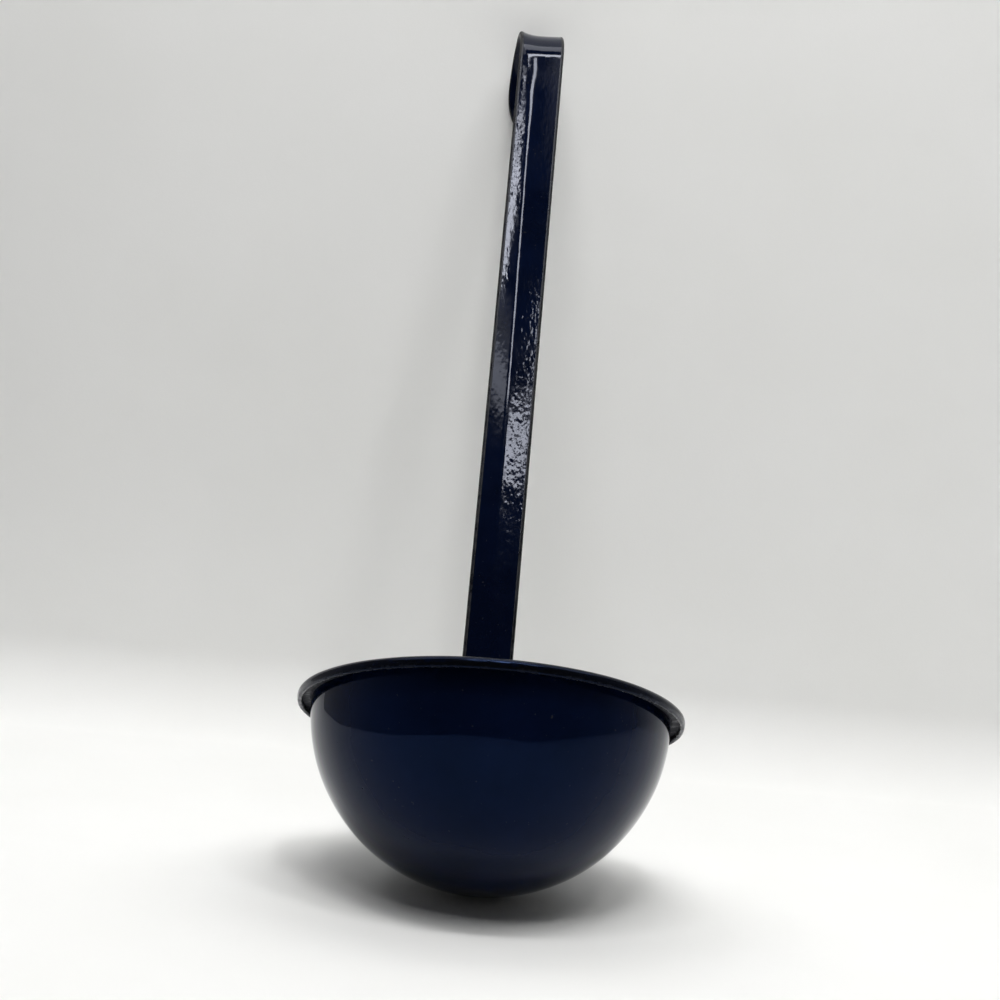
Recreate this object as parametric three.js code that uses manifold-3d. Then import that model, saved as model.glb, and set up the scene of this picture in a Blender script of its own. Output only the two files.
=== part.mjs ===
import * as THREE from 'three';
import { mergeVertices } from 'three/addons/utils/BufferGeometryUtils.js';
import Module from 'manifold-3d';

// Enamel ladle: a pressed half-round bowl with a curled rim, a dished strap handle whose top is
// bent back into a hanging hook, and the two rivets that hold the handle's foot to the bowl.
// Millimetres. +Z runs up the bowl's axis, +Y points from the axis to the handle, and the origin
// is the middle of the small flat under the bowl.

// Bowl
const BOWL_RADIUS = 50.1; // outside of the round wall
const BOWL_WALL = 1.2; // sheet and enamel together
const REST_RADIUS = 6; // flat under the bowl

// Rim: the wall flares out to a flange, which curls down to a straight open lip
const RIM_OVERHANG = 3.9; // from the wall's outside to the curl's outside
const RIM_RISE = 1.3; // flange top above the centre of the round wall
const RIM_FILLET = 0.8; // under the flange, where it leaves the wall
const CURL_INNER_RADIUS = 0.4;
const CURL_TURN = THREE.MathUtils.degToRad(100);
const LIP_LENGTH = 0.8; // straight stretch below the curl

// Handle strap
const LADLE_HEIGHT = 325.8; // from the flat to the hook's crown, along the strap's middle
const STRAP_WIDTH = 15.8;
const STRAP_THICKNESS = 1.6;
const STRAP_DISH = 1; // how far the strap's edges stand in front of its middle
const FOOT_CORNER = 6; // rounding of the strap's end on the bowl

// Hook at the top of the strap
const HOOK_RADIUS = 18; // outside of the bend
const HOOK_TURN = THREE.MathUtils.degToRad(180);
const HOOK_LEG = 9.8; // straight end that hangs down behind
const TIP_LENGTH = 20; // tapering stretch of the hook's end
const TIP_FLAT = 1.8; // width left at the very tip

// Joggle that carries the strap out from the wall and past the rim
const JOGGLE_RADIUS = 6;
const JOGGLE_LEAN = THREE.MathUtils.degToRad(35);
const JOGGLE_DROP = 1.2; // top of the joggle below the curl's lip

// Rivets
const RIVET_RADIUS = 2;
const RIVET_HEAD_OVERHANG = 2; // head's edge beyond the shank
const RIVET_HEAD_EDGE = 0.5; // straight edge under each dome
const RIVET_OUTER_HEAD = 1.9;
const RIVET_INNER_HEAD = 1.3;
const RIVET_PITCH = 14; // between the two rivets, along the strap
const RIVET_MARGIN = 8; // from a rivet to the strap's end, and to the joggle

// Gap kept between pieces that touch
const CLEARANCE = 0.3;

// Facets, and the steps along each arc
const BOWL_SEGMENTS = 48;
const WALL_STEPS = 12;
const FILLET_STEPS = 3;
const CURL_STEPS = 4;
const STRAP_SECTION_SEGMENTS = 3; // doubled on each arc of the section
const TANG_STEPS = 8;
const JOGGLE_STEPS = 4;
const SHANK_STEPS = 4;
const HOOK_STEPS = 18;
const TIP_STEPS = 7;
const RIVET_SEGMENTS = 16;
const DOME_STEPS = 4;

// How far a cutter runs past what it cuts
const CUTTER_MARGIN = 2;

// Enamel, from the photograph
const BOWL_COLOUR = 0x0b1431;
const HANDLE_COLOUR = 0x0a1130;
const ENAMEL_ROUGHNESS = 0.15;

// Sizes that follow
const RIM_RADIUS = BOWL_RADIUS + RIM_OVERHANG;
const INNER_RADIUS = BOWL_RADIUS - BOWL_WALL;
const BOWL_CENTRE = Math.sqrt(BOWL_RADIUS ** 2 - REST_RADIUS ** 2);
const RIM_TOP = BOWL_CENTRE + RIM_RISE;
const FLANGE_UNDER = RIM_TOP - BOWL_WALL;
const CURL_OUTER_RADIUS = CURL_INNER_RADIUS + BOWL_WALL;
const CURL_MIDDLE_RADIUS = CURL_INNER_RADIUS + BOWL_WALL / 2;
const CURL_END = Math.PI / 2 - CURL_TURN;
const CURL_CENTRE = new THREE.Vector2(RIM_RADIUS - CURL_OUTER_RADIUS, RIM_TOP - CURL_OUTER_RADIUS);
const LIP_END = new THREE.Vector2(Math.cos(CURL_END), Math.sin(CURL_END))
  .multiplyScalar(CURL_MIDDLE_RADIUS)
  .add(new THREE.Vector2(Math.sin(CURL_END), -Math.cos(CURL_END)).multiplyScalar(LIP_LENGTH))
  .add(CURL_CENTRE);
const LIP_BOTTOM = LIP_END.y - BOWL_WALL / 2;

// Distance from the axis, or from the bowl's centre, at which the strap's middle clears a round
// surface that both its middle and its forward edges have to pass
function clearOf(radius) {
  const atEdges = Math.sqrt(radius ** 2 - (STRAP_WIDTH / 2) ** 2) + STRAP_DISH;
  return Math.max(radius, atEdges) + CLEARANCE;
}
const TANG_RADIUS = clearOf(BOWL_RADIUS);
const SHANK_Y = clearOf(RIM_RADIUS);
const TANG_LENGTH = RIVET_PITCH + 2 * RIVET_MARGIN;

const wasm = await Module();
wasm.setup();

function solidOf(geometry) {
  const bare = geometry.clone();
  bare.deleteAttribute('normal');
  bare.deleteAttribute('uv');
  const merged = mergeVertices(bare);
  const corners = merged.index.array;
  const triangles = [];
  for (let i = 0; i < corners.length; i += 3) {
    const [a, b, c] = corners.slice(i, i + 3);
    if (a !== b && b !== c && c !== a) triangles.push(a, b, c);
  }
  const vertProperties = new Float32Array(merged.attributes.position.array);
  const triVerts = new Uint32Array(triangles);
  return new wasm.Manifold(new wasm.Mesh({ numProp: 3, vertProperties, triVerts }));
}

function geometryOf(solid) {
  const mesh = solid.getMesh();
  const geometry = new THREE.BufferGeometry();
  geometry.setAttribute('position', new THREE.BufferAttribute(mesh.vertProperties, 3));
  geometry.setIndex(new THREE.BufferAttribute(mesh.triVerts, 1));
  geometry.computeVertexNormals();
  return geometry;
}

function enamel(colour) {
  return new THREE.MeshStandardMaterial({ color: colour, roughness: ENAMEL_ROUGHNESS, metalness: 0 });
}

function named(name, geometry, material) {
  const mesh = new THREE.Mesh(geometry, material);
  mesh.name = name;
  return mesh;
}

// Points on an ellipse's arc, with both ends
function arcPoints(x, y, radiusX, radiusY, from, to, steps) {
  const points = [];
  for (let i = 0; i <= steps; i += 1) {
    const angle = from + (to - from) * (i / steps);
    points.push(new THREE.Vector2(x + radiusX * Math.cos(angle), y + radiusY * Math.sin(angle)));
  }
  return points;
}

// A solid turned about +Z from a profile of radius and height
function turned(profile, segments) {
  return new THREE.LatheGeometry(profile, segments).rotateX(Math.PI / 2);
}

// The sheet's closed profile: outside from the flat up to the rim, round the curl, and back inside
function bowlProfile() {
  const filletY = FLANGE_UNDER - RIM_FILLET;
  const filletX = Math.sqrt((BOWL_RADIUS + RIM_FILLET) ** 2 - (filletY - BOWL_CENTRE) ** 2);
  const wallTop = Math.atan2(filletY - BOWL_CENTRE, filletX);
  const outerFlat = Math.asin(REST_RADIUS / BOWL_RADIUS) - Math.PI / 2;
  const innerFlat = Math.asin((BOWL_WALL - BOWL_CENTRE) / INNER_RADIUS);
  const innerFillet = RIM_FILLET + BOWL_WALL;
  const round = (centre, radius, from, to, steps) =>
    arcPoints(centre.x, centre.y, radius, radius, from, to, steps);
  const fillet = new THREE.Vector2(filletX, filletY);
  const middle = new THREE.Vector2(0, BOWL_CENTRE);
  return [
    new THREE.Vector2(0, 0),
    ...round(middle, BOWL_RADIUS, outerFlat, wallTop, WALL_STEPS),
    ...round(fillet, RIM_FILLET, wallTop + Math.PI, Math.PI / 2, FILLET_STEPS).slice(1),
    ...round(CURL_CENTRE, CURL_INNER_RADIUS, Math.PI / 2, CURL_END, CURL_STEPS),
    ...round(LIP_END, BOWL_WALL / 2, CURL_END + Math.PI, CURL_END + 2 * Math.PI, CURL_STEPS),
    ...round(CURL_CENTRE, CURL_OUTER_RADIUS, CURL_END, Math.PI / 2, CURL_STEPS),
    ...round(fillet, innerFillet, Math.PI / 2, wallTop + Math.PI, FILLET_STEPS),
    ...round(middle, INNER_RADIUS, wallTop, innerFlat, WALL_STEPS).slice(1),
    new THREE.Vector2(0, BOWL_WALL),
  ];
}

// Front middle line of the strap in the plane x = 0, from the foot on the bowl to the hook's tip.
// A heading of 0 points up, and a positive one leans towards +Y.
class StrapPath extends THREE.Curve {
  constructor(y, z, heading) {
    super();
    this.points = [new THREE.Vector3(0, y, z)];
    this.headings = [heading];
  }

  // A straight run, or an arc where the turn isn't zero
  advance(length, turn, steps) {
    const heading = this.headings.at(-1);
    const start = this.points.at(-1);
    for (let i = 1; i <= steps; i += 1) {
      const part = (turn * i) / steps;
      const along = (length * i) / steps;
      const chord = part === 0 ? along : (2 * along * Math.sin(part / 2)) / part;
      const lean = heading + part / 2;
      const step = new THREE.Vector3(0, Math.sin(lean), Math.cos(lean)).multiplyScalar(chord);
      this.points.push(step.add(start));
      this.headings.push(heading + part);
    }
    return this;
  }

  run(length, steps) {
    return this.advance(length, 0, steps);
  }

  bend(radius, turn, steps) {
    return this.advance(radius * Math.abs(turn), turn, steps);
  }

  stationAt(u) {
    return Math.round(u * (this.points.length - 1));
  }

  getPointAt(u, target = new THREE.Vector3()) {
    return target.copy(this.points[this.stationAt(u)]);
  }

  getTangentAt(u, target = new THREE.Vector3()) {
    const heading = this.headings[this.stationAt(u)];
    return target.set(0, Math.sin(heading), Math.cos(heading));
  }
}

// Straight stretch between the joggle's two bends, for a strap that leaves the wall at an angle
// below the bowl's centre
function joggleRun(leave) {
  const out = SHANK_Y - TANG_RADIUS * Math.cos(leave);
  const byBends = JOGGLE_RADIUS * (1 + Math.cos(leave) - 2 * Math.cos(JOGGLE_LEAN));
  return (out - byBends) / Math.sin(JOGGLE_LEAN);
}

// Angle below the bowl's centre at which the strap leaves the wall, so that the joggle ends just
// under the curl's lip: the joggle's two bends and its straight run then add up to the way from the
// wall to the shank, both out and up
function leavingAngle() {
  const drop = BOWL_CENTRE - LIP_BOTTOM + JOGGLE_DROP;
  const out = SHANK_Y - JOGGLE_RADIUS;
  const reach = drop * Math.sin(JOGGLE_LEAN) + out * Math.cos(JOGGLE_LEAN) + 2 * JOGGLE_RADIUS;
  return JOGGLE_LEAN - Math.acos(reach / (TANG_RADIUS + JOGGLE_RADIUS));
}
const LEAVE_ANGLE = leavingAngle();
const FOOT_ANGLE = LEAVE_ANGLE + TANG_LENGTH / TANG_RADIUS;

function strapPath() {
  const y = TANG_RADIUS * Math.cos(FOOT_ANGLE);
  const z = BOWL_CENTRE - TANG_RADIUS * Math.sin(FOOT_ANGLE);
  const path = new StrapPath(y, z, FOOT_ANGLE);
  path.bend(TANG_RADIUS, LEAVE_ANGLE - FOOT_ANGLE, TANG_STEPS);
  path.bend(JOGGLE_RADIUS, JOGGLE_LEAN - LEAVE_ANGLE, JOGGLE_STEPS);
  path.run(joggleRun(LEAVE_ANGLE), 1);
  path.bend(JOGGLE_RADIUS, -JOGGLE_LEAN, JOGGLE_STEPS);
  path.run(LADLE_HEIGHT - HOOK_RADIUS - path.points.at(-1).z, SHANK_STEPS);
  path.bend(HOOK_RADIUS, HOOK_TURN, HOOK_STEPS);
  path.run(HOOK_LEG, 1);
  return path;
}

// Dished cross-section: two arcs about one centre in front of the strap, joined by round edges
function strapSection() {
  const half = STRAP_WIDTH / 2;
  const front = (half ** 2 + STRAP_DISH ** 2) / (2 * STRAP_DISH);
  const back = front + STRAP_THICKNESS;
  const middle = front + STRAP_THICKNESS / 2;
  const spread = Math.asin((half - STRAP_THICKNESS / 2) / middle);
  const left = -Math.PI / 2 - spread;
  const right = -Math.PI / 2 + spread;
  const edgeX = middle * Math.sin(spread);
  const edgeY = front - middle * Math.cos(spread);
  const shape = new THREE.Shape();
  shape.absarc(0, front, back, left, right, false);
  shape.absarc(edgeX, edgeY, STRAP_THICKNESS / 2, right, right + Math.PI, false);
  shape.absarc(0, front, front, right, left, true);
  shape.absarc(-edgeX, edgeY, STRAP_THICKNESS / 2, left + Math.PI, left + 2 * Math.PI, false);
  return shape;
}

// Takes one square corner off an end of the strap, as a quarter of an ellipse; side is 1 or -1,
// and +Y runs off the end
function cornerCutter(side, across, along, depth, steps) {
  const half = STRAP_WIDTH / 2;
  const inside = half - across;
  const shape = new THREE.Shape();
  shape.moveTo(inside, CUTTER_MARGIN);
  shape.lineTo(inside, 0);
  shape.absellipse(inside, -along, across, along, Math.PI / 2, 0, true);
  shape.lineTo(half + CUTTER_MARGIN, -along);
  shape.lineTo(half + CUTTER_MARGIN, CUTTER_MARGIN);
  shape.closePath();
  const cutter = new THREE.ExtrudeGeometry(shape, { depth, bevelEnabled: false, curveSegments: steps });
  cutter.translate(0, 0, -depth / 2);
  return side > 0 ? cutter : cutter.rotateY(Math.PI);
}

// A corner of the strap's end on the bowl
function footCutter(side) {
  const depth = 2 * (STRAP_THICKNESS + STRAP_DISH + CUTTER_MARGIN);
  return cornerCutter(side, FOOT_CORNER, FOOT_CORNER, depth, STRAP_SECTION_SEGMENTS);
}

// One side of the hook's tapered tip, deep enough to follow the taper into the bend
function tipCutter(side) {
  const across = (STRAP_WIDTH - TIP_FLAT) / 2;
  return cornerCutter(side, across, TIP_LENGTH, HOOK_RADIUS, TIP_STEPS);
}

// Places a cutter at an end of the strap: its +Y along the way off the end
function atStrapEnd(cutter, point, outward) {
  const across = new THREE.Vector3(1, 0, 0);
  const normal = new THREE.Vector3().crossVectors(across, outward);
  const frame = new THREE.Matrix4().makeBasis(across, outward, normal).setPosition(point);
  return cutter.applyMatrix4(frame);
}

// Angles of the rivets below the bowl's centre, the lower one first
function rivetAngles() {
  const lower = FOOT_ANGLE - RIVET_MARGIN / TANG_RADIUS;
  return [lower, lower - RIVET_PITCH / TANG_RADIUS];
}

// Turns a geometry made along +Z from the bowl's centre to point at a rivet's place on the wall
function atRivet(geometry, angle) {
  return geometry.rotateX(-Math.PI / 2 - angle).translate(0, 0, BOWL_CENTRE);
}

function rivetHole(angle) {
  const length = TANG_RADIUS + STRAP_THICKNESS - INNER_RADIUS + 2 * CUTTER_MARGIN;
  const middle = (TANG_RADIUS + STRAP_THICKNESS + INNER_RADIUS) / 2;
  const radius = RIVET_RADIUS + CLEARANCE;
  const hole = new THREE.CylinderGeometry(radius, radius, length, RIVET_SEGMENTS);
  return atRivet(hole.rotateX(Math.PI / 2).translate(0, 0, middle), angle);
}

function bowlGeometry() {
  let solid = solidOf(turned(bowlProfile(), BOWL_SEGMENTS));
  for (const angle of rivetAngles()) {
    solid = solid.subtract(solidOf(rivetHole(angle)));
  }
  return geometryOf(solid);
}

function handleGeometry() {
  const path = strapPath();
  const sweep = new THREE.ExtrudeGeometry(strapSection(), {
    steps: path.points.length - 1,
    curveSegments: STRAP_SECTION_SEGMENTS,
    extrudePath: path,
  });
  let solid = solidOf(sweep);
  for (const side of [1, -1]) {
    const foot = atStrapEnd(footCutter(side), path.getPointAt(0), path.getTangentAt(0).negate());
    const tip = atStrapEnd(tipCutter(side), path.getPointAt(1), path.getTangentAt(1));
    solid = solid.subtract(solidOf(foot)).subtract(solidOf(tip));
  }
  for (const angle of rivetAngles()) {
    solid = solid.subtract(solidOf(rivetHole(angle)));
  }
  return geometryOf(solid);
}

// One rivet along +Z, at its distance from the bowl's centre: inner head, shank, outer head
function rivetGeometry() {
  const head = RIVET_RADIUS + RIVET_HEAD_OVERHANG;
  const innerSeat = Math.sqrt(INNER_RADIUS ** 2 - head ** 2) - CLEARANCE;
  const outerSeat = TANG_RADIUS + STRAP_THICKNESS + CLEARANCE;
  const innerEdge = innerSeat - RIVET_HEAD_EDGE;
  const outerEdge = outerSeat + RIVET_HEAD_EDGE;
  const innerDome = RIVET_INNER_HEAD - RIVET_HEAD_EDGE;
  const outerDome = RIVET_OUTER_HEAD - RIVET_HEAD_EDGE;
  const profile = [
    ...arcPoints(0, innerEdge, head, innerDome, -Math.PI / 2, 0, DOME_STEPS),
    new THREE.Vector2(head, innerSeat),
    new THREE.Vector2(RIVET_RADIUS, innerSeat),
    new THREE.Vector2(RIVET_RADIUS, outerSeat),
    new THREE.Vector2(head, outerSeat),
    ...arcPoints(0, outerEdge, head, outerDome, 0, Math.PI / 2, DOME_STEPS),
  ];
  return geometryOf(solidOf(turned(profile, RIVET_SEGMENTS)));
}

const ladle = new THREE.Group();
ladle.add(named('bowl', bowlGeometry(), enamel(BOWL_COLOUR)));
ladle.add(named('handle', handleGeometry(), enamel(HANDLE_COLOUR)));
const [lowerAngle, upperAngle] = rivetAngles();
ladle.add(named('rivet_lower', atRivet(rivetGeometry(), lowerAngle), enamel(HANDLE_COLOUR)));
ladle.add(named('rivet_upper', atRivet(rivetGeometry(), upperAngle), enamel(HANDLE_COLOUR)));

export default ladle;
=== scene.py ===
import math

import bpy
from mathutils import Matrix, Vector, noise


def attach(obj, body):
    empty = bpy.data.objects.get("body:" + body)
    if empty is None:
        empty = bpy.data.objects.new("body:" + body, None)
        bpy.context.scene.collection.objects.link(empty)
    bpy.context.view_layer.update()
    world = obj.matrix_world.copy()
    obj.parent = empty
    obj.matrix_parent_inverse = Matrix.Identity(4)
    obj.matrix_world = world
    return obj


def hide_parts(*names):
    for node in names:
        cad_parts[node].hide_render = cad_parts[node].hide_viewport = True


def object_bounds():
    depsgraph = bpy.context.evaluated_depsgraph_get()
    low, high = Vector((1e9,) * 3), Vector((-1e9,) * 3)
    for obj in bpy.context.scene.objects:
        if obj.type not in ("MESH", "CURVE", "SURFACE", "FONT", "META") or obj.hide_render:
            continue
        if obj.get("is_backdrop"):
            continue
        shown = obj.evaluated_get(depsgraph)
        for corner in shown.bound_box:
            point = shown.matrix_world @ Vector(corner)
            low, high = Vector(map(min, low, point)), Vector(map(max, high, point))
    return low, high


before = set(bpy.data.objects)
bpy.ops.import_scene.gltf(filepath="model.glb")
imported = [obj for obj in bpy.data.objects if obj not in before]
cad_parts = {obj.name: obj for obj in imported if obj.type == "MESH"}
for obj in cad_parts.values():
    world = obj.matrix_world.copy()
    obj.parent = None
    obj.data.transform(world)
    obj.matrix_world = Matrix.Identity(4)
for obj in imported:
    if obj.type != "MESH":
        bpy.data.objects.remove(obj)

# An enamel ladle that stands on its bowl and leans with its hook against a wall.
# Metres, in the frame of the CAD model: +Z up the bowl's axis, +Y from the axis to the handle.

CAD_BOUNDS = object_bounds()
MM = 0.001
FULL_TURN = 2 * math.pi

# Bowl
BOWL_RADIUS = 50.1 * MM
BOWL_WALL = 1.2 * MM
REST_RADIUS = 6 * MM
RIM_OVERHANG = 3.9 * MM
RIM_RISE = 1.3 * MM
RIM_FILLET = 0.8 * MM
CURL_INNER_RADIUS = 0.4 * MM
CURL_TURN = math.radians(100)
LIP_LENGTH = 0.8 * MM

# Waves of the pressed sheet, which fade out towards the flat under the bowl, and of its rim
WAVE_HEIGHT = 0.09 * MM
WAVE_LENGTH = 24 * MM
RIPPLE_HEIGHT = 0.045 * MM
RIPPLE_LENGTH = 9 * MM
WAVES_FULL_AT = 0.2  # share of the rim's height
RIM_WAVE_HEIGHT = 0.12 * MM
RIM_WAVE_LENGTH = 45 * MM
RIM_WAVE_FROM = 0.9  # share of the curl's height
RIM_WAVE_OFFSET = Vector((7, 3, 1))

# How worn the stretches of the bowl's edge are, from 0 to 1
HOLLOW_WEAR = 0.9
LIP_WEAR = 0.35
CURL_WEAR = 0.2
FLANGE_WEAR = 0.05

# Fineness of the bowl's mesh
BOWL_SEGMENTS = 224
WALL_STEPS = 56
FILLET_STEPS = 8
FLANGE_STEPS = 10
HOLLOW_STEPS = 8
LIP_STEPS = 10
CURL_STEPS = 14
SAME_POINT = 0.02 * MM

# Strap of the handle, dished towards a valley that strays from its middle line
LADLE_HEIGHT = 325.8 * MM
STRAP_WIDTH = 15.8 * MM
STRAP_THICKNESS = 1.6 * MM
STRAP_DISH = 1 * MM
FOOT_CORNER = 6 * MM
FLANK_SHARE = 0.8  # of the dish, by the flanks' slope; their curve makes the rest
VALLEY_WIDTH_LOW = 2 * MM
VALLEY_WIDTH_HIGH = 5.6 * MM
VALLEY_WIDENS = (265 * MM, 312 * MM)
VALLEY_LOW = -0.9 * MM
VALLEY_HIGH = -2.3 * MM
VALLEY_DRIFT = (150 * MM, 300 * MM)
VALLEY_WOBBLE = 0.6 * MM
VALLEY_WOBBLE_LENGTH = 9 * MM
VALLEY_WOBBLE_LINE = Vector((0, 5, 0))
VALLEY_WOBBLE_LEAST = 0.4
LEFT_CALM_BELOW = (235 * MM, 265 * MM)
RIGHT_CALM_ABOVE = (205 * MM, 225 * MM)
FLANK_CALM = 0.65
FACE_EDGE_WEAR = 0.6
FACE_EDGE_REACH = 0.01 * MM
STRAP_WAVE_HEIGHT = 0.03 * MM
STRAP_WAVE_LENGTH = 18 * MM
HOOK_RADIUS = 18 * MM
HOOK_LEG = 9.8 * MM
TIP_LENGTH = 20 * MM
TIP_FLAT = 1.8 * MM
JOGGLE_RADIUS = 6 * MM
JOGGLE_LEAN = math.radians(35)
JOGGLE_DROP = 1.2 * MM

# How the handle is bent askew, as slopes
SIDE_LEAN = 0.0106
SIDE_LEAN_FROM = 45 * MM
SIDE_LEAN_ZERO = 104 * MM
HOOK_SKEW = -0.069
CROWN_TILT = -0.075

# Fineness of the strap's mesh: along it, round its edges, and across its flanks and its valley,
# where the lane of close points is measured in valley half widths and strap half widths
STRAP_STEP = 0.9 * MM
EDGE_STEPS = 8
EDGE_BAND = 0.3 * MM
EDGE_BAND_MOST = 0.2
FLANK_STEPS = 7
LANE_STEPS = 4
LANE_REACH = 1.2
LANE_MOST = 0.4

# Rivets
RIVET_RADIUS = 2 * MM
RIVET_HEAD_RADIUS = 4 * MM
RIVET_HEAD_EDGE = 0.5 * MM
RIVET_OUTER_HEAD = 1.9 * MM
RIVET_INNER_HEAD = 1.3 * MM
RIVET_SKIRT = 0.35 * MM
RIVET_SKIRT_TOP = 0.3  # share of the skirt's width
RIVET_PITCH = 14 * MM
RIVET_MARGIN = 8 * MM
RIVET_WEAR = 0.06
RIVET_SEGMENTS = 48
RIVET_DOME_STEPS = 10
CLEARANCE = 0.3 * MM

# Sizes that follow
RIM_RADIUS = BOWL_RADIUS + RIM_OVERHANG
INNER_RADIUS = BOWL_RADIUS - BOWL_WALL
BOWL_CENTRE = math.sqrt(BOWL_RADIUS ** 2 - REST_RADIUS ** 2)
RIM_TOP = BOWL_CENTRE + RIM_RISE
FLANGE_UNDER = RIM_TOP - BOWL_WALL
CURL_OUTER_RADIUS = CURL_INNER_RADIUS + BOWL_WALL
CURL_MIDDLE_RADIUS = CURL_INNER_RADIUS + BOWL_WALL / 2
CURL_END = math.pi / 2 - CURL_TURN
CURL_X = RIM_RADIUS - CURL_OUTER_RADIUS
CURL_Z = RIM_TOP - CURL_OUTER_RADIUS
LIP_X = CURL_X + CURL_MIDDLE_RADIUS * math.cos(CURL_END) + LIP_LENGTH * math.sin(CURL_END)
LIP_Z = CURL_Z + CURL_MIDDLE_RADIUS * math.sin(CURL_END) - LIP_LENGTH * math.cos(CURL_END)
LIP_BOTTOM = LIP_Z - BOWL_WALL / 2


def clear_of(radius):
    """Distance at which the dished strap's middle clears a round surface."""
    at_edges = math.sqrt(radius ** 2 - (STRAP_WIDTH / 2) ** 2) + STRAP_DISH
    return max(radius, at_edges) + CLEARANCE


TANG_RADIUS = clear_of(BOWL_RADIUS)
SHANK_Y = clear_of(RIM_RADIUS)
TANG_LENGTH = RIVET_PITCH + 2 * RIVET_MARGIN

# The room: the ladle leans back, so the table and the wall are turned by its lean
LEAN = math.radians(24.5)
ROOM_UP = Vector((0, -math.sin(LEAN), math.cos(LEAN)))
ROOM_BACK = Vector((0, math.cos(LEAN), math.sin(LEAN)))
ROOM_RIGHT = Vector((1, 0, 0))
TABLE_POINT = Vector((0, 0, BOWL_CENTRE)) - BOWL_RADIUS * ROOM_UP
TABLE_LEFT = -0.27
TABLE_RIGHT = 1.1
TABLE_FRONT = -0.8
WALL_BACK = 0.1925
WALL_HEIGHT = 0.9
COVE_RADIUS = 0.03
COVE_STEPS = 16
ROOM_RADIUS = 3
ROOM_RINGS = 24
ROOM_SEGMENTS = 48
SIDE_GLOW = 0.3
GLOW_DEPTH = (-0.9, 0.1)
GLOW_HEIGHT = (0.4, 0.75)

# Camera, from the photograph: where it stands about the rim's centre, and where it sees that point
IMAGE_PIXELS = 1000
FOCAL_PIXELS = 1700
SENSOR_MM = 36
CAMERA_AZIMUTH = math.radians(-2.186)
CAMERA_ELEVATION = math.radians(-13.83)
CAMERA_DISTANCE = 478.6 * MM
CAMERA_ROLL = math.radians(4.425)
RIM_CENTRE_PIXEL = (490.84, 713.25)
CAMERA_TARGET = Vector((0, 0, FLANGE_UNDER))


def in_room(right, back, up):
    """A point of the room, measured from where the bowl touches the table."""
    return TABLE_POINT + right * ROOM_RIGHT + back * ROOM_BACK + up * ROOM_UP


def smooth_step(value, low, high):
    """Eased ramp from 0 at low to 1 at high."""
    t = min(1, max(0, (value - low) / (high - low)))
    return t * t * (3 - 2 * t)


def arc(x, y, radius, start, end, steps):
    """Points on a circle's arc, with both ends."""
    angles = [start + (end - start) * i / steps for i in range(steps + 1)]
    return [(x + radius * math.cos(a), y + radius * math.sin(a)) for a in angles]


def mesh_object(name, points, faces, attributes):
    """A smooth-shaded object with named values at its points."""
    mesh = bpy.data.meshes.new(name)
    mesh.from_pydata(points, [], faces)
    for key, values in attributes.items():
        layer = mesh.attributes.new(key, "FLOAT", "POINT")
        layer.data.foreach_set("value", values)
    mesh.polygons.foreach_set("use_smooth", [True] * len(mesh.polygons))
    mesh.validate()
    piece = bpy.data.objects.new(name, mesh)
    bpy.context.scene.collection.objects.link(piece)
    return piece


# Bowl


def bowl_profile():
    """Closed outline of the sheet as (radius, height, edge), where edge says how worn it is."""
    fillet_z = FLANGE_UNDER - RIM_FILLET
    fillet_x = math.sqrt((BOWL_RADIUS + RIM_FILLET) ** 2 - (fillet_z - BOWL_CENTRE) ** 2)
    wall_top = math.atan2(fillet_z - BOWL_CENTRE, fillet_x)
    fillet_end = wall_top + math.pi
    inner_fillet = RIM_FILLET + BOWL_WALL
    outer_flat = math.asin(REST_RADIUS / BOWL_RADIUS) - math.pi / 2
    inner_flat = math.asin((BOWL_WALL - BOWL_CENTRE) / INNER_RADIUS)
    up = math.pi / 2
    lip_turn = (CURL_END + math.pi, CURL_END + FULL_TURN)
    runs = [
        (0, arc(0, BOWL_CENTRE, BOWL_RADIUS, outer_flat, wall_top, WALL_STEPS)),
        (HOLLOW_WEAR, arc(fillet_x, fillet_z, RIM_FILLET, fillet_end, up, FILLET_STEPS)),
        (HOLLOW_WEAR, arc(CURL_X, CURL_Z, CURL_INNER_RADIUS, up, CURL_END, HOLLOW_STEPS)),
        (LIP_WEAR, arc(LIP_X, LIP_Z, BOWL_WALL / 2, *lip_turn, LIP_STEPS)),
        (CURL_WEAR, arc(CURL_X, CURL_Z, CURL_OUTER_RADIUS, CURL_END, up, CURL_STEPS)),
        (FLANGE_WEAR, arc(fillet_x, fillet_z, inner_fillet, up, fillet_end, FLANGE_STEPS)),
        (0, arc(0, BOWL_CENTRE, INNER_RADIUS, wall_top, inner_flat, WALL_STEPS)),
    ]
    outline = [(0, 0, 0)]
    for edge, points in runs:
        for x, z in points:
            if math.hypot(x - outline[-1][0], z - outline[-1][1]) > SAME_POINT:
                outline.append((x, z, edge))
    outline.append((0, BOWL_WALL, 0))
    return outline


def bowl_point(radius, height, angle):
    """A point of the turned profile, with the slight waves of pressed sheet."""
    point = Vector((radius * math.cos(angle), radius * math.sin(angle), height))
    direction = (point - Vector((0, 0, BOWL_CENTRE))).normalized()
    wave = WAVE_HEIGHT * noise.noise(direction * (BOWL_RADIUS / WAVE_LENGTH))
    ripple = RIPPLE_HEIGHT * noise.noise(direction * (BOWL_RADIUS / RIPPLE_LENGTH))
    flat = Vector((direction.x, direction.y, 0)) * (RIM_RADIUS / RIM_WAVE_LENGTH)
    rim_wave = noise.noise(flat + RIM_WAVE_OFFSET)
    out = (wave + ripple) * smooth_step(height, 0, WAVES_FULL_AT * RIM_TOP)
    rise = RIM_WAVE_HEIGHT * rim_wave * smooth_step(height, RIM_WAVE_FROM * CURL_Z, RIM_TOP)
    return point + direction * out + Vector((0, 0, rise))


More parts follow.
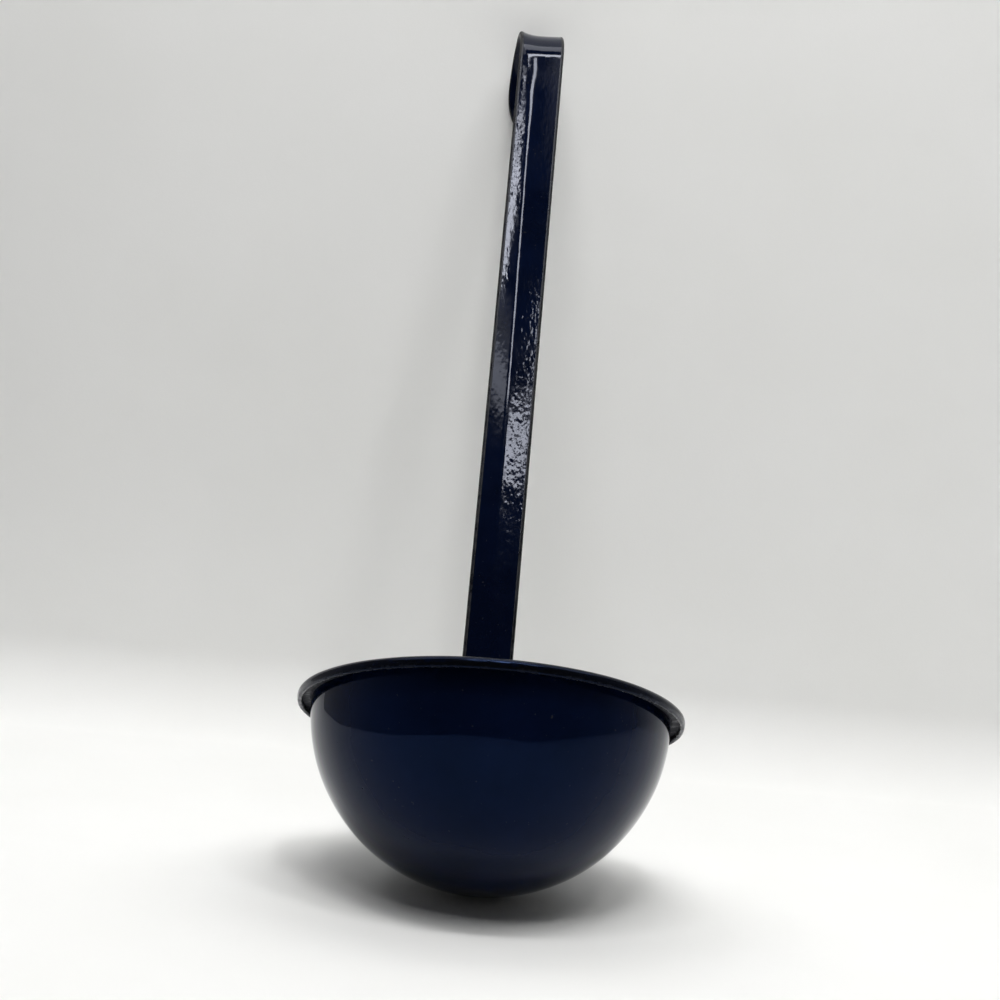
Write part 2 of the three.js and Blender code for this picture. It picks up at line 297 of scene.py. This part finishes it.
def turned_faces(rings, segments):
    """Faces of a turned solid: rings of points, then the first and the last pole."""
    faces = []
    first_pole = rings * segments
    last = (rings - 1) * segments
    for i in range(segments):
        j = (i + 1) % segments
        faces += [(k + i, k + j, k + segments + j, k + segments + i) for k in range(0, last, segments)]
        faces.append((first_pole, j, i))
        faces.append((last + i, last + j, first_pole + 1))
    return faces


def turned_object(name, profile, segments, place):
    """A solid turned from (radius, height, edge) points between two poles on its axis."""
    rings = profile[1:-1]
    points = []
    edges = []
    for radius, height, edge in rings:
        points += [place(radius, height, FULL_TURN * i / segments) for i in range(segments)]
        edges += [edge] * segments
    for _, height, edge in (profile[0], profile[-1]):
        points.append(place(0, height, 0))
        edges.append(edge)
    return mesh_object(name, points, turned_faces(len(rings), segments), {"edge": edges})


# Handle


def joggle_run(leave):
    """Straight stretch between the joggle's two bends."""
    out = SHANK_Y - TANG_RADIUS * math.cos(leave)
    by_bends = JOGGLE_RADIUS * (1 + math.cos(leave) - 2 * math.cos(JOGGLE_LEAN))
    return (out - by_bends) / math.sin(JOGGLE_LEAN)


def leaving_angle():
    """Angle below the bowl's centre at which the strap leaves the wall."""
    drop = BOWL_CENTRE - LIP_BOTTOM + JOGGLE_DROP
    out = SHANK_Y - JOGGLE_RADIUS
    reach = drop * math.sin(JOGGLE_LEAN) + out * math.cos(JOGGLE_LEAN) + 2 * JOGGLE_RADIUS
    return JOGGLE_LEAN - math.acos(reach / (TANG_RADIUS + JOGGLE_RADIUS))


LEAVE_ANGLE = leaving_angle()
FOOT_ANGLE = LEAVE_ANGLE + TANG_LENGTH / TANG_RADIUS
RIVET_ANGLES = {
    "rivet_lower": FOOT_ANGLE - RIVET_MARGIN / TANG_RADIUS,
    "rivet_upper": FOOT_ANGLE - (RIVET_MARGIN + RIVET_PITCH) / TANG_RADIUS,
}


def advance(spot, length, turn):
    """Moves (y, z, heading) along a straight run, or along an arc where the turn isn't zero."""
    y, z, heading = spot
    chord = length if turn == 0 else 2 * length * math.sin(turn / 2) / turn
    lean = heading + turn / 2
    return y + chord * math.sin(lean), z + chord * math.cos(lean), heading + turn


def strap_runs():
    """The strap's front middle line, from its foot on the bowl to the hook's tip, as
    (start, length, turn) runs. A heading of 0 points up, and a positive one leans to +Y."""
    foot_y = TANG_RADIUS * math.cos(FOOT_ANGLE)
    foot_z = BOWL_CENTRE - TANG_RADIUS * math.sin(FOOT_ANGLE)
    shank_from = LIP_BOTTOM - JOGGLE_DROP
    steps = [
        (TANG_LENGTH, LEAVE_ANGLE - FOOT_ANGLE),
        (JOGGLE_RADIUS * (JOGGLE_LEAN - LEAVE_ANGLE), JOGGLE_LEAN - LEAVE_ANGLE),
        (joggle_run(LEAVE_ANGLE), 0),
        (JOGGLE_RADIUS * JOGGLE_LEAN, -JOGGLE_LEAN),
        (LADLE_HEIGHT - HOOK_RADIUS - shank_from, 0),
        (HOOK_RADIUS * math.pi, math.pi),
        (HOOK_LEG, 0),
    ]
    runs = []
    spot = (foot_y, foot_z, FOOT_ANGLE)
    for length, turn in steps:
        runs.append((spot, length, turn))
        spot = advance(spot, length, turn)
    return runs


def strap_spot(runs, along):
    """(y, z, heading) at a distance from the strap's foot."""
    for spot, length, turn in runs[:-1]:
        if along <= length:
            return advance(spot, along, turn * along / length)
        along -= length
    spot, length, turn = runs[-1]
    return advance(spot, along, turn * along / length)


def crowded(length, first, step):
    """Distances from an end that crowd towards it, as a quarter circle seen from its side does.
    First and step are degrees of that circle."""
    return [length * (1 - math.cos(math.radians(a))) for a in range(first, 90, step)]


def strap_stations(total):
    """Distances at which the strap gets a ring of points, closer together at its round ends."""
    foot = crowded(FOOT_CORNER, 2, 5)
    tip = crowded(TIP_LENGTH, 2, 4)
    edge = crowded(STRAP_THICKNESS / 2, 12, 13)
    span = total - FOOT_CORNER - TIP_LENGTH
    count = round(span / STRAP_STEP)
    middle = [FOOT_CORNER + span * i / count for i in range(count + 1)]
    return sorted({*foot, *edge}) + middle + sorted(total - d for d in {*tip, *edge})


def half_width_at(along, total):
    """Half the strap's width, drawn in at its round foot and its tapered tip."""
    half = STRAP_WIDTH / 2
    foot = max(0, 1 - along / FOOT_CORNER)
    tip = max(0, 1 - (total - along) / TIP_LENGTH)
    by_foot = FOOT_CORNER * (1 - math.sqrt(1 - foot ** 2))
    by_tip = (half - TIP_FLAT / 2) * (1 - math.sqrt(1 - tip ** 2))
    return half - by_foot - by_tip


def sideways(y, z, heading):
    """How far the strap has strayed to the side: a slight lean, and a hook bent askew."""
    height = LADLE_HEIGHT if heading > math.pi / 2 else max(z, SIDE_LEAN_FROM)
    return SIDE_LEAN * (height - SIDE_LEAN_ZERO) + HOOK_SKEW * max(0, y - SHANK_Y)


def dish(x, valley, bend):
    """How far the strap's face stands in front of its valley, and the face's slope there. The
    bend is the rounded valley's half width."""
    side = -1 if x < valley else 1
    reach = STRAP_WIDTH / 2 - side * valley
    out = abs(x - valley)
    slope = FLANK_SHARE * STRAP_DISH / (reach - bend / 2)
    if out < bend:
        return slope * out ** 2 / (2 * bend), side * slope * out / bend
    extra = (1 - FLANK_SHARE) * STRAP_DISH / (reach - bend) ** 2
    height = slope * (out - bend / 2) + extra * (out - bend) ** 2
    return height, side * (slope + 2 * extra * (out - bend))


def across_strap(inner, valley, bend):
    """Places across the strap's face, closer together in the valley."""
    lane = min(LANE_REACH * bend, LANE_MOST * inner)
    outer = inner - min(EDGE_BAND, EDGE_BAND_MOST * inner)
    flank = range(FLANK_STEPS)
    left = [-outer + (valley - lane + outer) * i / FLANK_STEPS for i in flank]
    right = [valley + lane + (outer - valley - lane) * (i + 1) / FLANK_STEPS for i in flank]
    middle = [valley + lane * k / LANE_STEPS for k in range(-LANE_STEPS, LANE_STEPS + 1)]
    return [-inner, *left, *middle, *right, inner]


def strap_section(half_width, half_thick, valley, bend, calm):
    """One ring round the strap as (x, front, edge, calm): face, edge, back, edge. The calm given
    is that of the left and the right flank, and the valley itself is calmest."""
    inner = half_width - half_thick
    sunk = STRAP_THICKNESS / 2 - half_thick
    face = []
    back = []
    for x in across_strap(inner, valley, bend):
        front, slope = dish(x, valley, bend)
        length = math.hypot(1, slope)
        normal = (-slope / length, 1 / length)
        share = max(calm[x > valley], 1 - abs(x - valley) / (2 * bend))
        worn = FACE_EDGE_WEAR if abs(x) >= inner - FACE_EDGE_REACH else 0
        face.append((x - normal[0] * sunk, front - normal[1] * sunk, worn, share))
        depth = sunk + 2 * half_thick
        back.append((x - normal[0] * depth, front - normal[1] * depth, 0, 0))
    return face + edge_round(face[-1], back[-1]) + back[::-1] + edge_round(back[0], face[0])


def edge_round(start, end):
    """Half circle of edge points between a face's last point and the next face's first."""
    middle = Vector(((start[0] + end[0]) / 2, (start[1] + end[1]) / 2))
    arm = Vector(start[:2]) - middle
    side = Vector((arm.y, -arm.x))
    points = []
    for i in range(1, EDGE_STEPS):
        angle = math.pi * i / EDGE_STEPS
        spot = middle + arm * math.cos(angle) + side * math.sin(angle)
        points.append((spot.x, spot.y, math.sin(angle), 0))
    return points


def valley_at(height, half_width):
    """Where the strap's valley runs across its width, and half the valley's own width."""
    high = smooth_step(height, *VALLEY_DRIFT)
    wide = smooth_step(height, *VALLEY_WIDENS)
    valley = VALLEY_LOW + (VALLEY_HIGH - VALLEY_LOW) * high
    wobble = noise.noise(VALLEY_WOBBLE_LINE + Vector((0, 0, height / VALLEY_WOBBLE_LENGTH)))
    valley += VALLEY_WOBBLE * (VALLEY_WOBBLE_LEAST + wide) * high * wobble
    width = VALLEY_WIDTH_LOW + (VALLEY_WIDTH_HIGH - VALLEY_WIDTH_LOW) * wide
    return valley * half_width / (STRAP_WIDTH / 2), width / 2


def calm_at(height):
    """How much of the orange peel is smoothed away on the left and on the right flank."""
    left = 1 - smooth_step(height, *LEFT_CALM_BELOW)
    right = smooth_step(height, *RIGHT_CALM_ABOVE)
    return FLANK_CALM * left, FLANK_CALM * right


def strap_ring(spot, along, total):
    """One ring of the strap in space, with its edge and calm values."""
    y, z, heading = spot
    half_width = half_width_at(along, total)
    tip = max(0, 1 - min(along, total - along) / (STRAP_THICKNESS / 2))
    half_thick = STRAP_THICKNESS / 2 * math.sqrt(1 - tip ** 2)
    forward = Vector((0, -math.cos(heading), math.sin(heading)))
    section = strap_section(half_width, half_thick, *valley_at(z, half_width), calm_at(z))
    tilt = CROWN_TILT * smooth_step(z, LADLE_HEIGHT - HOOK_RADIUS, LADLE_HEIGHT)
    points = []
    for x, front, _, _ in section:
        point = Vector((x, y, z)) + forward * front
        point += forward * STRAP_WAVE_HEIGHT * noise.noise(point / STRAP_WAVE_LENGTH)
        point.x += sideways(y, z, heading)
        point.z += tilt * x
        points.append(point)
    return points, [(edge, calm) for _, _, edge, calm in section]


def build_handle():
    """The strap as a swept ring, closed at its rounded ends."""
    runs = strap_runs()
    total = sum(length for _, length, _ in runs)
    points = []
    edges = []
    calms = []
    stations = strap_stations(total)
    for along in stations:
        ring, values = strap_ring(strap_spot(runs, along), along, total)
        points += ring
        edges += [edge for edge, _ in values]
        calms += [calm for _, calm in values]
    size = len(points) // len(stations)
    faces = [tuple(reversed(range(size))), tuple(range(len(points) - size, len(points)))]
    for start in range(0, len(points) - size, size):
        for i in range(size):
            j = (i + 1) % size
            faces.append((start + i, start + j, start + size + j, start + size + i))
    return mesh_object("handle_strap", points, faces, {"edge": edges, "calm": calms})


# Rivets


def rivet_profile():
    """Turned outline of one rivet along the line from the bowl's centre: inner head, shank, outer
    head. Each head's skirt meets the surface that it sits on."""
    inner_seat = math.sqrt(INNER_RADIUS ** 2 - RIVET_HEAD_RADIUS ** 2)
    outer_seat = TANG_RADIUS + STRAP_THICKNESS
    skirt = RIVET_HEAD_RADIUS + RIVET_SKIRT
    skirt_top = RIVET_HEAD_RADIUS + RIVET_SKIRT_TOP * RIVET_SKIRT
    inner_dome = RIVET_INNER_HEAD - RIVET_HEAD_EDGE
    outer_dome = RIVET_OUTER_HEAD - RIVET_HEAD_EDGE
    inner_edge = inner_seat - CLEARANCE - RIVET_HEAD_EDGE
    outer_edge = outer_seat + CLEARANCE + RIVET_HEAD_EDGE
    quarter = [math.pi / 2 * i / RIVET_DOME_STEPS for i in range(RIVET_DOME_STEPS + 1)]
    head = [(RIVET_HEAD_RADIUS * math.sin(a), math.cos(a)) for a in quarter]
    dome_in = [(x, inner_edge - inner_dome * rise, RIVET_WEAR) for x, rise in head]
    dome_out = [(x, outer_edge + outer_dome * rise, RIVET_WEAR) for x, rise in reversed(head)]
    middle = [
        (skirt_top, inner_seat - CLEARANCE, RIVET_WEAR),
        (skirt, inner_seat, 0),
        (RIVET_RADIUS, inner_seat, 0),
        (RIVET_RADIUS, outer_seat, 0),
        (skirt, outer_seat, 0),
        (skirt_top, outer_seat + CLEARANCE, RIVET_WEAR),
    ]
    return dome_in + middle + dome_out


def build_rivet(name, node):
    """One rivet, pointed at its place on the bowl's wall."""
    aim = Matrix.Rotation(-math.pi / 2 - RIVET_ANGLES[node], 4, "X")

    def place(radius, height, angle):
        along = Vector((radius * math.cos(angle), radius * math.sin(angle), height))
        return aim @ along + Vector((0, 0, BOWL_CENTRE))

    return turned_object(name, rivet_profile(), RIVET_SEGMENTS, place)


# Materials


class Nodes:
    """Adds and links the nodes of one material."""

    def __init__(self, name):
        self.material = bpy.data.materials.new(name)
        self.material.use_nodes = True
        self.tree = self.material.node_tree
        self.shader = self.tree.nodes["Principled BSDF"]
        self.coordinates = self.add("ShaderNodeTexCoord").outputs["Object"]

    def add(self, kind, **settings):
        node = self.tree.nodes.new(kind)
        for key, value in settings.items():
            setattr(node, key, value)
        return node

    def link(self, source, target):
        self.tree.links.new(source, target)

    def noise(self, size, detail=2.0, roughness=0.5, stretch=(1, 1, 1)):
        """Cloudy value from 0 to 1, with features of about the given size in metres."""
        scale = self.add("ShaderNodeMapping")
        scale.inputs["Scale"].default_value = [s / size for s in stretch]
        self.link(self.coordinates, scale.inputs["Vector"])
        texture = self.add("ShaderNodeTexNoise")
        texture.inputs["Scale"].default_value = 1
        texture.inputs["Detail"].default_value = detail
        texture.inputs["Roughness"].default_value = roughness
        self.link(scale.outputs["Vector"], texture.inputs["Vector"])
        return texture.outputs["Fac"]

    def spread(self, value, low, high, to_low, to_high):
        """A value taken from one range to another, and held at its ends."""
        node = self.add("ShaderNodeMapRange")
        node.inputs["From Min"].default_value = low
        node.inputs["From Max"].default_value = high
        node.inputs["To Min"].default_value = to_low
        node.inputs["To Max"].default_value = to_high
        self.link(value, node.inputs["Value"])
        return node.outputs["Result"]

    def math(self, operation, first, second):
        node = self.add("ShaderNodeMath", operation=operation)
        for socket, value in zip(node.inputs, (first, second)):
            if isinstance(value, (int, float)):
                socket.default_value = value
            else:
                self.link(value, socket)
        return node.outputs["Value"]

    def mix(self, share, first, second):
        """Blend of two colours, each a colour or another node's output."""
        node = self.add("ShaderNodeMix", data_type="RGBA")
        self.link(share, node.inputs["Factor"])
        for name, value in (("A", first), ("B", second)):
            socket = next(s for s in node.inputs if s.name == name and s.type == "RGBA")
            if isinstance(value, tuple):
                socket.default_value = (*value, 1)
            else:
                self.link(value, socket)
        return next(s for s in node.outputs if s.type == "RGBA")

    def along(self, axis):
        """How far a point lies along an axis."""
        node = self.add("ShaderNodeVectorMath", operation="DOT_PRODUCT")
        self.link(self.coordinates, node.inputs[0])
        node.inputs[1].default_value = axis
        return node.outputs["Value"]

    def attribute(self, name):
        return self.add("ShaderNodeAttribute", attribute_name=name).outputs["Fac"]

    def bump(self, height, depth):
        """Normal from a height of 0 to 1 that stands for the given depth in metres."""
        node = self.add("ShaderNodeBump")
        node.inputs["Strength"].default_value = 1
        node.inputs["Distance"].default_value = depth
        self.link(height, node.inputs["Height"])
        return node.outputs["Normal"]


# Enamel of each piece: strength and tint of the gloss, its range of roughness, size and depth of
# the orange peel, and how far edges have worn grey
BOWL_FINISH = {
    "gloss": 0.16,
    "tint": (0.2, 0.38, 1.0, 1),
    "haze": (0.02, 0.05),
    "peel_size": 3 * MM,
    "peel_depth": 0.014 * MM,
    "wear": 0.7,
}
HANDLE_FINISH = {
    "gloss": 0.2,
    "tint": (0.82, 0.86, 1.0, 1),
    "haze": (0.045, 0.09),
    "peel_size": 1.5 * MM,
    "peel_depth": 0.068 * MM,
    "wear": 0.9,
}
RIVET_FINISH = {**HANDLE_FINISH, "peel_depth": 0.03 * MM, "wear": 0.6}
NAVY_DARK = (0.0010, 0.0026, 0.0100)
NAVY_LIGHT = (0.0016, 0.0040, 0.0165)
GROUND_COAT = (0.0020, 0.0022, 0.0030)
WORN = (0.034, 0.033, 0.032)
DULL_EDGE = 0.6
CLOUD_SIZE = 22 * MM
SPECK_SIZE = 1.1 * MM
SPECK_STRENGTH = 0.5
FRAY_SIZE = 2.5 * MM
HAZE_SIZE = 9 * MM
PEEL_STRETCH = (1, 1, 0.6)


def enamel(name, gloss, tint, haze, peel_size, peel_depth, wear):
    """Glossy navy enamel: cloudy colour, orange peel and specks, thinned to its dark ground coat
    at edges, where it is worn dull and grey."""
    nodes = Nodes(name)
    cloud = nodes.spread(nodes.noise(CLOUD_SIZE, 3), 0.35, 0.65, 0, 1)
    navy = nodes.mix(cloud, NAVY_DARK, NAVY_LIGHT)
    speck = nodes.spread(nodes.noise(SPECK_SIZE, 1), 0.74, 0.80, 0, SPECK_STRENGTH)
    speckled = nodes.mix(speck, navy, WORN)
    edge = nodes.attribute("edge")
    fray = nodes.spread(nodes.noise(FRAY_SIZE, 3), 0.3, 0.7, 0.5, 1.5)
    ragged = nodes.math("MULTIPLY", edge, fray)
    thin = nodes.spread(ragged, 0.05, 0.2, 0, 1)
    thinned = nodes.mix(thin, speckled, GROUND_COAT)
    worn = nodes.spread(ragged, 0.35, 1.0, 0, wear)
    nodes.link(nodes.mix(worn, thinned, WORN), nodes.shader.inputs["Base Color"])
    rough = nodes.spread(nodes.noise(HAZE_SIZE, 4), 0.3, 0.7, *haze)
    dull = nodes.spread(ragged, 0, 1, 0, DULL_EDGE)
    nodes.link(nodes.math("ADD", rough, dull), nodes.shader.inputs["Roughness"])
    peel = nodes.noise(peel_size, 1.5, stretch=PEEL_STRETCH)
    unrest = nodes.math("SUBTRACT", 1, nodes.attribute("calm"))
    height = nodes.math("MULTIPLY", nodes.math("SUBTRACT", peel, 0.5), unrest)
    nodes.link(nodes.bump(height, peel_depth), nodes.shader.inputs["Normal"])
    nodes.shader.inputs["Specular IOR Level"].default_value = gloss
    nodes.shader.inputs["Specular Tint"].default_value = tint
    return nodes.material


PAPER_DARK = (0.84, 0.84, 0.82)
PAPER_LIGHT = (0.88, 0.88, 0.87)
PAPER_CLOUD = 60 * MM
PAPER_GRAIN = 0.8 * MM
PAPER_GRAIN_DEPTH = 0.02 * MM
ROOM_DARK = (0.02, 0.021, 0.024)
ROOM_LIGHT = (0.04, 0.042, 0.046)
ROOM_CLOUD = 500 * MM
WORLD_COLOUR = (0.8, 0.8, 0.79, 1)


def see_through_behind(nodes):
    """Lets the camera look through a surface from its back."""
    output = nodes.tree.nodes["Material Output"]
    behind = nodes.add("ShaderNodeNewGeometry").outputs["Backfacing"]
    clear = nodes.add("ShaderNodeBsdfTransparent")
    mix = nodes.add("ShaderNodeMixShader")
    nodes.link(behind, mix.inputs["Fac"])
    nodes.link(nodes.shader.outputs["BSDF"], mix.inputs[1])
    nodes.link(clear.outputs["BSDF"], mix.inputs[2])
    nodes.link(mix.outputs["Shader"], output.inputs["Surface"])


def paper():
    """Matt white paper of the table and the wall."""
    nodes = Nodes("paper")
    white = nodes.mix(nodes.noise(PAPER_CLOUD, 3), PAPER_DARK, PAPER_LIGHT)
    nodes.link(white, nodes.shader.inputs["Base Color"])
    nodes.shader.inputs["Roughness"].default_value = 0.8
    nodes.shader.inputs["Specular IOR Level"].default_value = 0.1
    grain = nodes.bump(nodes.noise(PAPER_GRAIN, 2), PAPER_GRAIN_DEPTH)
    nodes.link(grain, nodes.shader.inputs["Normal"])
    see_through_behind(nodes)
    return nodes.material


def dark_room():
    """Far walls of the room: dark in front, with a low, dim glow towards both sides."""
    nodes = Nodes("dark_room")
    wall = nodes.mix(nodes.noise(ROOM_CLOUD, 2), ROOM_DARK, ROOM_LIGHT)
    nodes.link(wall, nodes.shader.inputs["Base Color"])
    nodes.shader.inputs["Roughness"].default_value = 0.9
    aside = nodes.spread(nodes.along(ROOM_BACK / ROOM_RADIUS), *GLOW_DEPTH, 0, SIDE_GLOW)
    low = nodes.spread(nodes.along(ROOM_UP / ROOM_RADIUS), *GLOW_HEIGHT, 1, 0)
    nodes.shader.inputs["Emission Color"].default_value = (1, 1, 1, 1)
    nodes.link(nodes.math("MULTIPLY", aside, low), nodes.shader.inputs["Emission Strength"])
    return nodes.material


# Stage, light and camera


def build_backdrop():
    """White paper that lies on the table and runs up the wall behind in a small cove."""
    cove_back = WALL_BACK - COVE_RADIUS
    cove = arc(cove_back, COVE_RADIUS, COVE_RADIUS, -math.pi / 2, 0, COVE_STEPS)
    profile = [(TABLE_FRONT, 0), *cove, (WALL_BACK, WALL_HEIGHT)]
    points = []
    for right in (TABLE_LEFT, TABLE_RIGHT):
        points += [in_room(right, back, up) for back, up in profile]
    count = len(profile)
    faces = [(i, count + i, count + i + 1, i + 1) for i in range(count - 1)]
    backdrop = mesh_object("backdrop", points, faces, {})
    backdrop.data.materials.append(paper())
    backdrop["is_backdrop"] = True


def build_room():
    """Dark shell round the set. The camera sees the pale world instead of it."""
    profile = [(0, -ROOM_RADIUS, 0)]
    for i in range(1, ROOM_RINGS):
        angle = math.pi * i / ROOM_RINGS
        profile.append((ROOM_RADIUS * math.sin(angle), -ROOM_RADIUS * math.cos(angle), 0))
    profile.append((0, ROOM_RADIUS, 0))

    def place(radius, height, angle):
        return Vector((radius * math.cos(angle), radius * math.sin(angle), height))

    shell = turned_object("room_shell", profile, ROOM_SEGMENTS, place)
    shell.data.materials.append(dark_room())
    shell.visible_camera = False
    shell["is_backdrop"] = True


HANDLE_AIM = Vector((0, SHANK_Y, 200 * MM))
PANEL_DISTANCE = 1.2


def panel(name, right, elevation, size, radiance, distance=PANEL_DISTANCE):
    """Soft light panel, placed by the direction in which the handle sees it: degrees to the
    right of the way to the front, and degrees above the table."""
    across = math.radians(right)
    rise = math.radians(elevation)
    way = math.sin(across) * ROOM_RIGHT - math.cos(across) * ROOM_BACK
    way = way * math.cos(rise) + ROOM_UP * math.sin(rise)
    light = bpy.data.lights.new(name, "AREA")
    light.shape = "RECTANGLE"
    light.size, light.size_y = size
    light.energy = radiance * math.pi * size[0] * size[1]
    lamp = bpy.data.objects.new(name, light)
    level = ROOM_UP.cross(way).normalized()
    frame_axes = Matrix((level, way.cross(level), way)).transposed()
    lamp.matrix_world = Matrix.Translation(HANDLE_AIM + distance * way) @ frame_axes.to_4x4()
    lamp.visible_camera = False
    bpy.context.scene.collection.objects.link(lamp)


def build_lights():
    """Panels that the strap's flanks, its valley and the hook's bend reflect, and soft fills."""
    panel("light_right_top", 40, 59.4, (0.126, 0.035), 6)
    panel("light_right_high", 37.5, 57.2, (0.091, 0.05), 24)
    panel("light_right_low", 33.7, 53.6, (0.065, 0.105), 31)
    panel("light_right_faint", 26, 49.2, (0.157, 0.055), 1.2)
    panel("light_right_dim", 26, 46.7, (0.157, 0.05), 6.5)
    panel("light_left", -12.5, 45.1, (0.192, 0.052), 25)
    panel("light_left_edge", -20.3, 49.7, (0.055, 0.078), 17)
    panel("light_left_high", -24, 61, (0.168, 0.147), 0.45)
    panel("light_left_glow", -29, 61, (0.21, 0.147), 0.55)
    panel("light_strip", 5, 56, (0.1, 0.36), 23)
    panel("light_top", 0, 69.4, (0.68, 0.1), 28)
    panel("fill_top", 0, 97, (0.4, 0.25), 4.6, distance=0.6)
    panel("fill_right", 90, 57, (0.7, 0.6), 2.2)
    panel("fill_left", -90, 57, (0.7, 0.6), 2.2)


def build_world():
    """Pale surroundings, seen where the paper ends."""
    world = bpy.data.worlds.new("pale_world")
    world.use_nodes = True
    background = world.node_tree.nodes["Background"]
    background.inputs["Color"].default_value = WORLD_COLOUR
    background.inputs["Strength"].default_value = 1
    bpy.context.scene.world = world


def build_camera():
    """Camera of the photograph: looks at the rim's centre, then turns to see it off centre."""
    level = math.cos(CAMERA_ELEVATION)
    back = Vector((
        math.sin(CAMERA_AZIMUTH) * level,
        -math.cos(CAMERA_AZIMUTH) * level,
        math.sin(CAMERA_ELEVATION),
    ))
    right = Vector((0, 0, 1)).cross(back).normalized()
    axes = Matrix((right, back.cross(right), back)).transposed()
    axes = axes @ Matrix.Rotation(CAMERA_ROLL, 3, "Z")
    across, down = (p - IMAGE_PIXELS / 2 for p in RIM_CENTRE_PIXEL)
    seen = Vector((across / FOCAL_PIXELS, -down / FOCAL_PIXELS, -1))
    turn = Vector((0, 0, -1)).rotation_difference(seen).to_matrix()
    axes = axes @ turn.transposed()
    data = bpy.data.cameras.new("camera")
    data.sensor_width = SENSOR_MM
    data.lens = SENSOR_MM * FOCAL_PIXELS / IMAGE_PIXELS
    data.clip_start = 10 * MM
    camera = bpy.data.objects.new("camera", data)
    camera.matrix_world = Matrix.Translation(CAMERA_TARGET + CAMERA_DISTANCE * back) @ axes.to_4x4()
    bpy.context.scene.collection.objects.link(camera)
    bpy.context.scene.camera = camera


def dress(piece, node, material):
    """Puts a piece in a CAD node's place, on the ladle's one body."""
    piece.data.materials.append(material)
    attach(piece, "root")
    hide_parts(node)


def build_ladle():
    """The four pieces, each in its enamel."""
    bowl = turned_object("bowl_shell", bowl_profile(), BOWL_SEGMENTS, bowl_point)
    dress(bowl, "bowl", enamel("bowl_enamel", **BOWL_FINISH))
    dress(build_handle(), "handle", enamel("handle_enamel", **HANDLE_FINISH))
    rivets = enamel("rivet_enamel", **RIVET_FINISH)
    for node in RIVET_ANGLES:
        dress(build_rivet(node + "_head", node), node, rivets)


build_camera()
build_world()
build_backdrop()
build_room()
build_lights()
build_ladle()
bpy.context.scene.view_settings.view_transform = "Standard"

VISUAL_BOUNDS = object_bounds()
boxes = {"cad": CAD_BOUNDS, "visual": VISUAL_BOUNDS}
{k: [list(corner) for corner in box] for k, box in boxes.items()}
